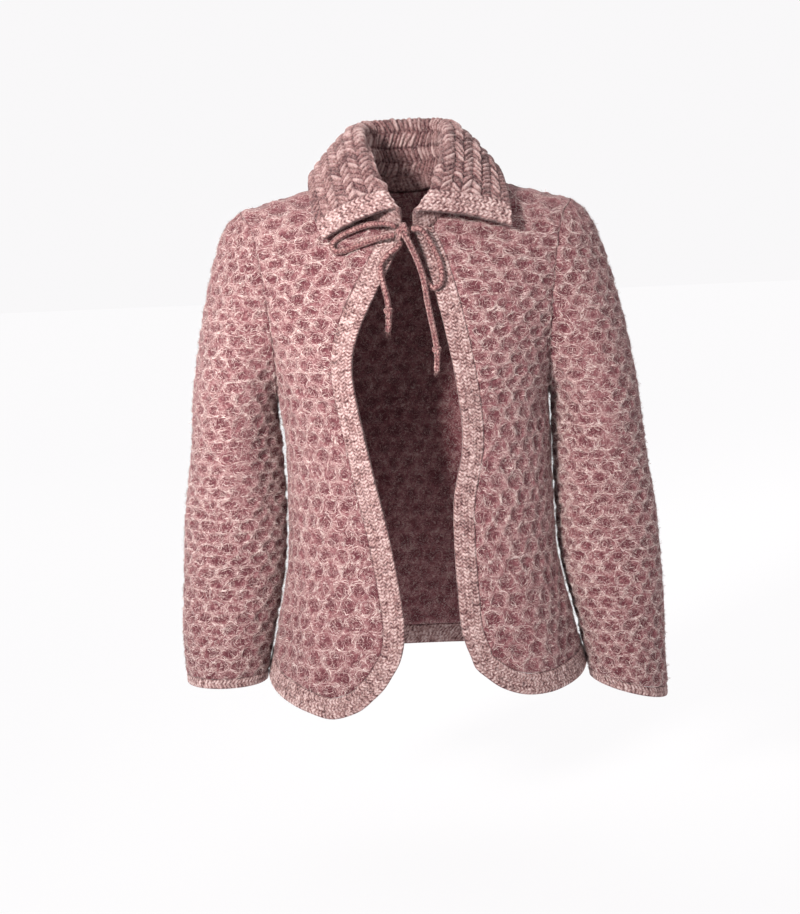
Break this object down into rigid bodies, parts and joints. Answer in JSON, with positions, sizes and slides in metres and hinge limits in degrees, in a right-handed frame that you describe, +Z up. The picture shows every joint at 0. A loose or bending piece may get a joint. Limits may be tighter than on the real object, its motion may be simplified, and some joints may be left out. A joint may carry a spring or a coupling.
{
  "type": "cardigan",
  "caption": "Open-front hand-knit cardigan in honeycomb knit with ribbed edge bands, round lower corners, rolled rope-rib collar and a cord tie, hollow as worn.",
  "frame": {"origin": "midway between the shoulders at the height where the shoulder seams meet the neck, where the wearer's shoulders carry the garment", "axes": "+Z up, the wearer faces -Y, the wearer's left is +X"},
  "size_m": [0.5667, 0.2495, 0.6859],
  "materials": {
    "honeycomb_knit": "brushed mohair knit, matt with a pale halo",
    "ribbed_band": "ribbed mohair knit, matt",
    "collar_knit": "chunky rope rib in mohair, matt",
    "tie_cord": "knitted tube cord in mohair, matt"
  },
  "bodies": {
    "root": {"back": "honeycomb_knit", "right_front": "honeycomb_knit", "left_front": "honeycomb_knit", "right_sleeve": "honeycomb_knit", "left_sleeve": "honeycomb_knit", "right_front_band": "ribbed_band", "left_front_band": "ribbed_band", "back_hem_band": "ribbed_band", "right_cuff_band": "ribbed_band", "left_cuff_band": "ribbed_band", "collar": "collar_knit", "right_collar_band": "ribbed_band", "left_collar_band": "ribbed_band", "tie_knot": "tie_cord", "right_tie_loop": "tie_cord", "left_tie_loop": "tie_cord", "right_tie_end": "tie_cord", "left_tie_end": "tie_cord", "right_end_knot": "tie_cord", "left_end_knot": "tie_cord", "right_tie_tip": "tie_cord", "left_tie_tip": "tie_cord"}
  },
  "joints": []
}
